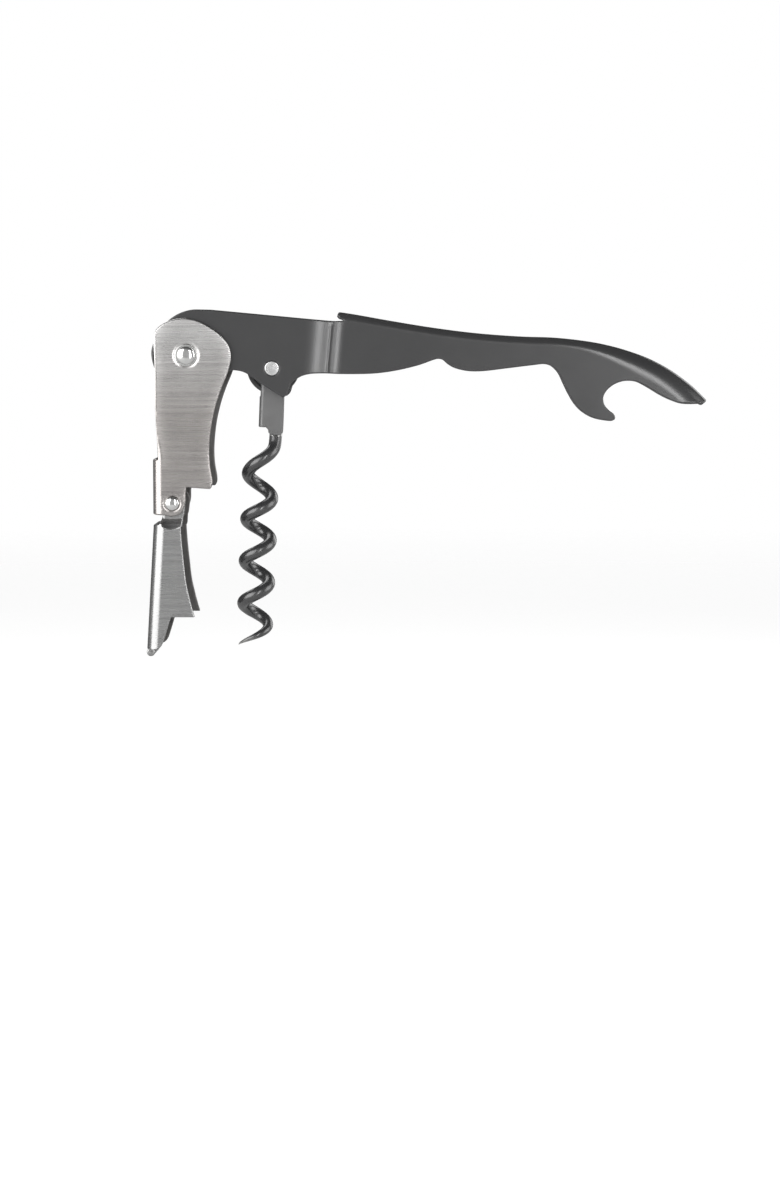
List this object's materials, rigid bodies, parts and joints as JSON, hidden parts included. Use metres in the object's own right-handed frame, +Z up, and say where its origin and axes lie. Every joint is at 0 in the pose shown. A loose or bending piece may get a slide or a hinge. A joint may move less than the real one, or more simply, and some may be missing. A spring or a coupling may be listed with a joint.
{
  "type": "waiters corkscrew",
  "caption": "Double-hinged waiter's corkscrew with a folded-sheet handle, a two-step notched lever, a coated worm on a clip, a folding foil knife and a crown-cap hook",
  "frame": {"origin": "the point on the worm's axis where the worm enters the cork, 45 mm below the worm's pin", "axes": "+Z is up, +X runs along the handle from its head to its cap-hook end, and every pivot lies along Y"},
  "size_m": [0.1281, 0.018, 0.0794],
  "materials": {
    "handle": "satin dark grey coating over pressed steel",
    "upper_lever": "brushed along its width",
    "boot_lever": "brushed along its width",
    "lever_rivet": "polished",
    "lever_washer_near": "polished",
    "lever_washer_far": "polished",
    "boot_rivet": "polished",
    "boot_sleeve": "moulded",
    "worm_pin": "peened flat and bright",
    "worm_spacer_near": "moulded",
    "worm_spacer_far": "moulded",
    "worm_carrier": "mid-grey plating",
    "worm_hub": "moulded, fine grain",
    "worm": "glossy black release coating",
    "knife_blade": "ground",
    "knife_spacer_near": "moulded",
    "knife_spacer_far": "moulded"
  },
  "bodies": {
    "handle": {"handle": "handle", "lever_rivet": "lever_rivet", "knife_spacer_near": "knife_spacer_near", "knife_spacer_far": "knife_spacer_far", "worm_pin": "worm_pin", "worm_spacer_near": "worm_spacer_near", "worm_spacer_far": "worm_spacer_far"},
    "upper_lever": {"upper_lever": "upper_lever", "lever_washer_near": "lever_washer_near", "lever_washer_far": "lever_washer_far", "boot_rivet": "boot_rivet"},
    "boot": {"boot_lever": "boot_lever", "boot_sleeve": "boot_sleeve"},
    "worm": {"worm": "worm", "worm_carrier": "worm_carrier", "worm_hub": "worm_hub"},
    "knife": {"knife_blade": "knife_blade"}
  },
  "joints": [
    {"name": "lever_fold", "type": "hinge", "parent": "handle", "child": "upper_lever", "pos_m": [-0.0155, 0, 0.0477], "axis": [0, -1, 0], "range_deg": [0, 82.5]},
    {"name": "worm_fold", "type": "hinge", "parent": "handle", "child": "worm", "pos_m": [0.00391, 0, 0.04473], "axis": [0, -1, 0], "range_deg": [0, 94.5]},
    {"name": "boot_hinge", "type": "hinge", "parent": "upper_lever", "child": "boot", "pos_m": [-0.01885, 0, 0.014], "axis": [0, -1, 0], "range_deg": [-10, 12]},
    {"name": "knife_open", "type": "hinge", "parent": "handle", "child": "knife", "pos_m": [-0.0155, 0, 0.0477], "axis": [0, -1, 0], "range_deg": [0, 172]}
  ],
  "couplings": [
    {"joint": "worm_fold", "follows": "lever_fold", "ratio": 1.145}
  ]
}
